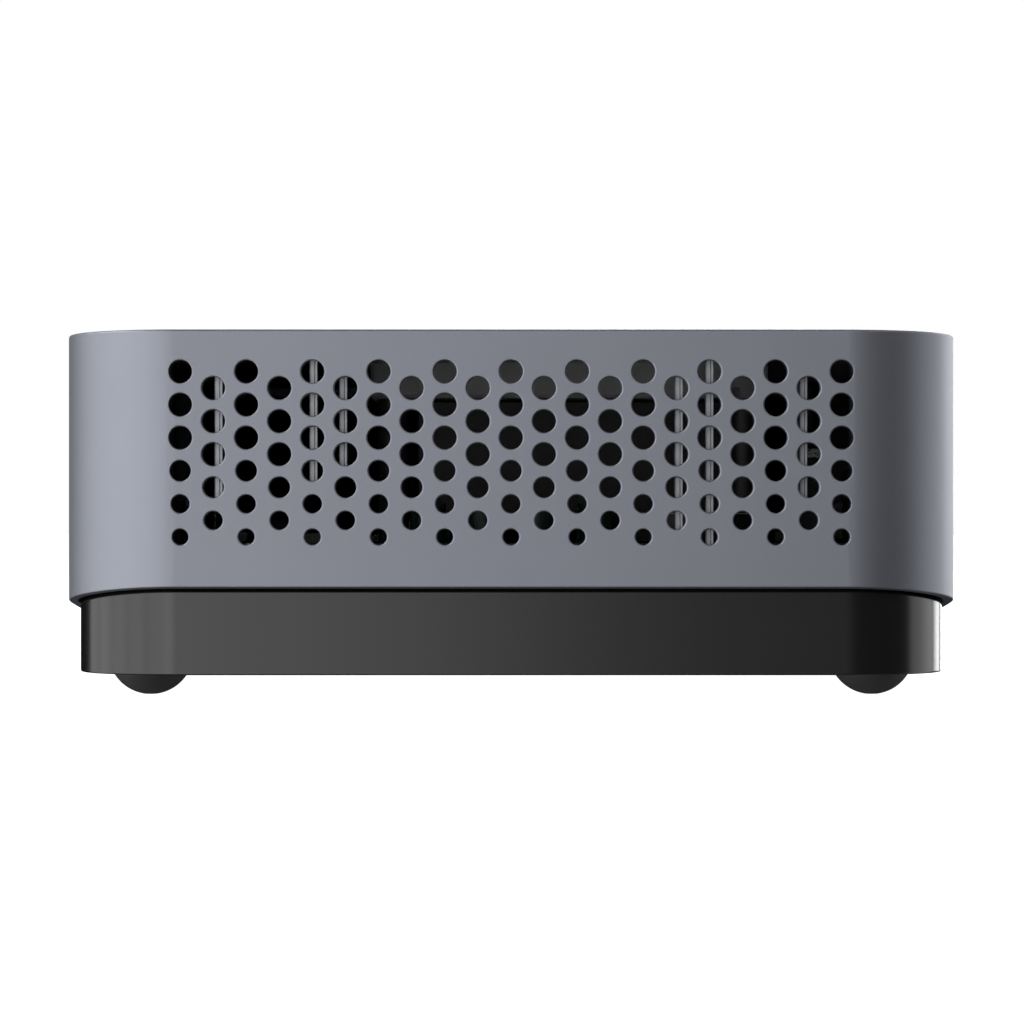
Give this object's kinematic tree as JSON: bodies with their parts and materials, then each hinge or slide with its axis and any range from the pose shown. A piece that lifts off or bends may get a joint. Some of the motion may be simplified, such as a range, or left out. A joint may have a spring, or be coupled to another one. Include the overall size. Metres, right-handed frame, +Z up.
{
  "type": "mini pc",
  "caption": "Palm-size square desktop computer: grey shell with perforated sides over an inset black base on dome feet, with port panels, a press button, a fan and full internals.",
  "frame": {"origin": "middle of the footprint, on the plane the feet rest on", "axes": "+Z up; -Y is the front with the power button; the perforated vent sides face +X and -X"},
  "size_m": [0.128, 0.128, 0.0515],
  "materials": {
    "shell_grey": "bead-blasted space-grey anodising, satin",
    "rib_grey": "plain satin aluminium",
    "base_black": "smooth black, semi-gloss",
    "panel_black": "fine texture black",
    "rubber": "matte black rubber",
    "button_grey": "satin grey",
    "steel": "zinc-plated",
    "port_steel": "nickel-plated connector shell",
    "board": "dark green solder mask",
    "black_plastic": "moulded black",
    "fan_plastic": "moulded dark grey",
    "heatsink_black": "black anodised",
    "chip": "packaged silicon",
    "clear": "clear light guide",
    "brass": "turned brass",
    "drive_metal": "bare sheet aluminium",
    "flex": "amber polyimide film",
    "foam": "open-cell black foam",
    "wire": "black insulated leads"
  },
  "bodies": {
    "case": {"antenna_left": "flex", "antenna_right": "flex", "audio_jack": "black_plastic", "base": "base_black", "battery": "steel", "battery_holder": "black_plastic", "board_screw_1": "steel", "board_screw_2": "steel", "board_screw_3": "steel", "board_screw_4": "steel", "closing_screw_1": "steel", "closing_screw_2": "steel", "closing_screw_3": "steel", "closing_screw_4": "steel", "cpu": "chip", "door_screw_1": "steel", "door_screw_2": "steel", "dust_filter": "foam", "drive_connector": "black_plastic", "drive_door": "base_black", "drive_ribbon": "flex", "fan_housing": "fan_plastic", "fan_lead": "wire", "foot_1": "rubber", "foot_2": "rubber", "foot_3": "rubber", "foot_4": "rubber", "front_panel": "panel_black", "hdmi_1": "port_steel", "hdmi_2": "port_steel", "heatsink": "heatsink_black", "lan_jack": "port_steel", "light_pipe": "clear", "memory_module": "board", "memory_socket": "black_plastic", "motherboard": "board", "mount_insert_1": "brass", "mount_insert_2": "brass", "power_jack": "black_plastic", "power_switch": "black_plastic", "rear_panel": "panel_black", "reset_switch": "black_plastic", "shell": "shell_grey", "storage_card": "board", "storage_drive": "drive_metal", "storage_screw": "steel", "storage_socket": "black_plastic", "top_panel": "shell_grey", "usb_a_front_1": "port_steel", "usb_a_front_2": "port_steel", "usb_a_rear": "port_steel", "usb_c_front": "port_steel", "vent_comb_left": "rib_grey", "vent_comb_right": "rib_grey", "wireless_card": "board", "wireless_socket": "black_plastic"},
    "button": {"power_button": "button_grey"},
    "reset": {"reset_plunger": "button_grey"},
    "rotor": {"fan_rotor": "fan_plastic"}
  },
  "joints": [
    {"name": "power_button_press", "type": "slide", "parent": "case", "child": "button", "axis": [0, 1, 0], "range_m": [0, 0.0006], "stiffness_N_per_m": 2000},
    {"name": "reset_press", "type": "slide", "parent": "case", "child": "reset", "axis": [0, 1, 0], "range_m": [0, 0.0004], "stiffness_N_per_m": 1500},
    {"name": "fan_spin", "type": "hinge", "parent": "case", "child": "rotor", "pos_m": [0, 0.0088, 0.0433], "axis": [0, 0, 1], "continuous": true}
  ]
}
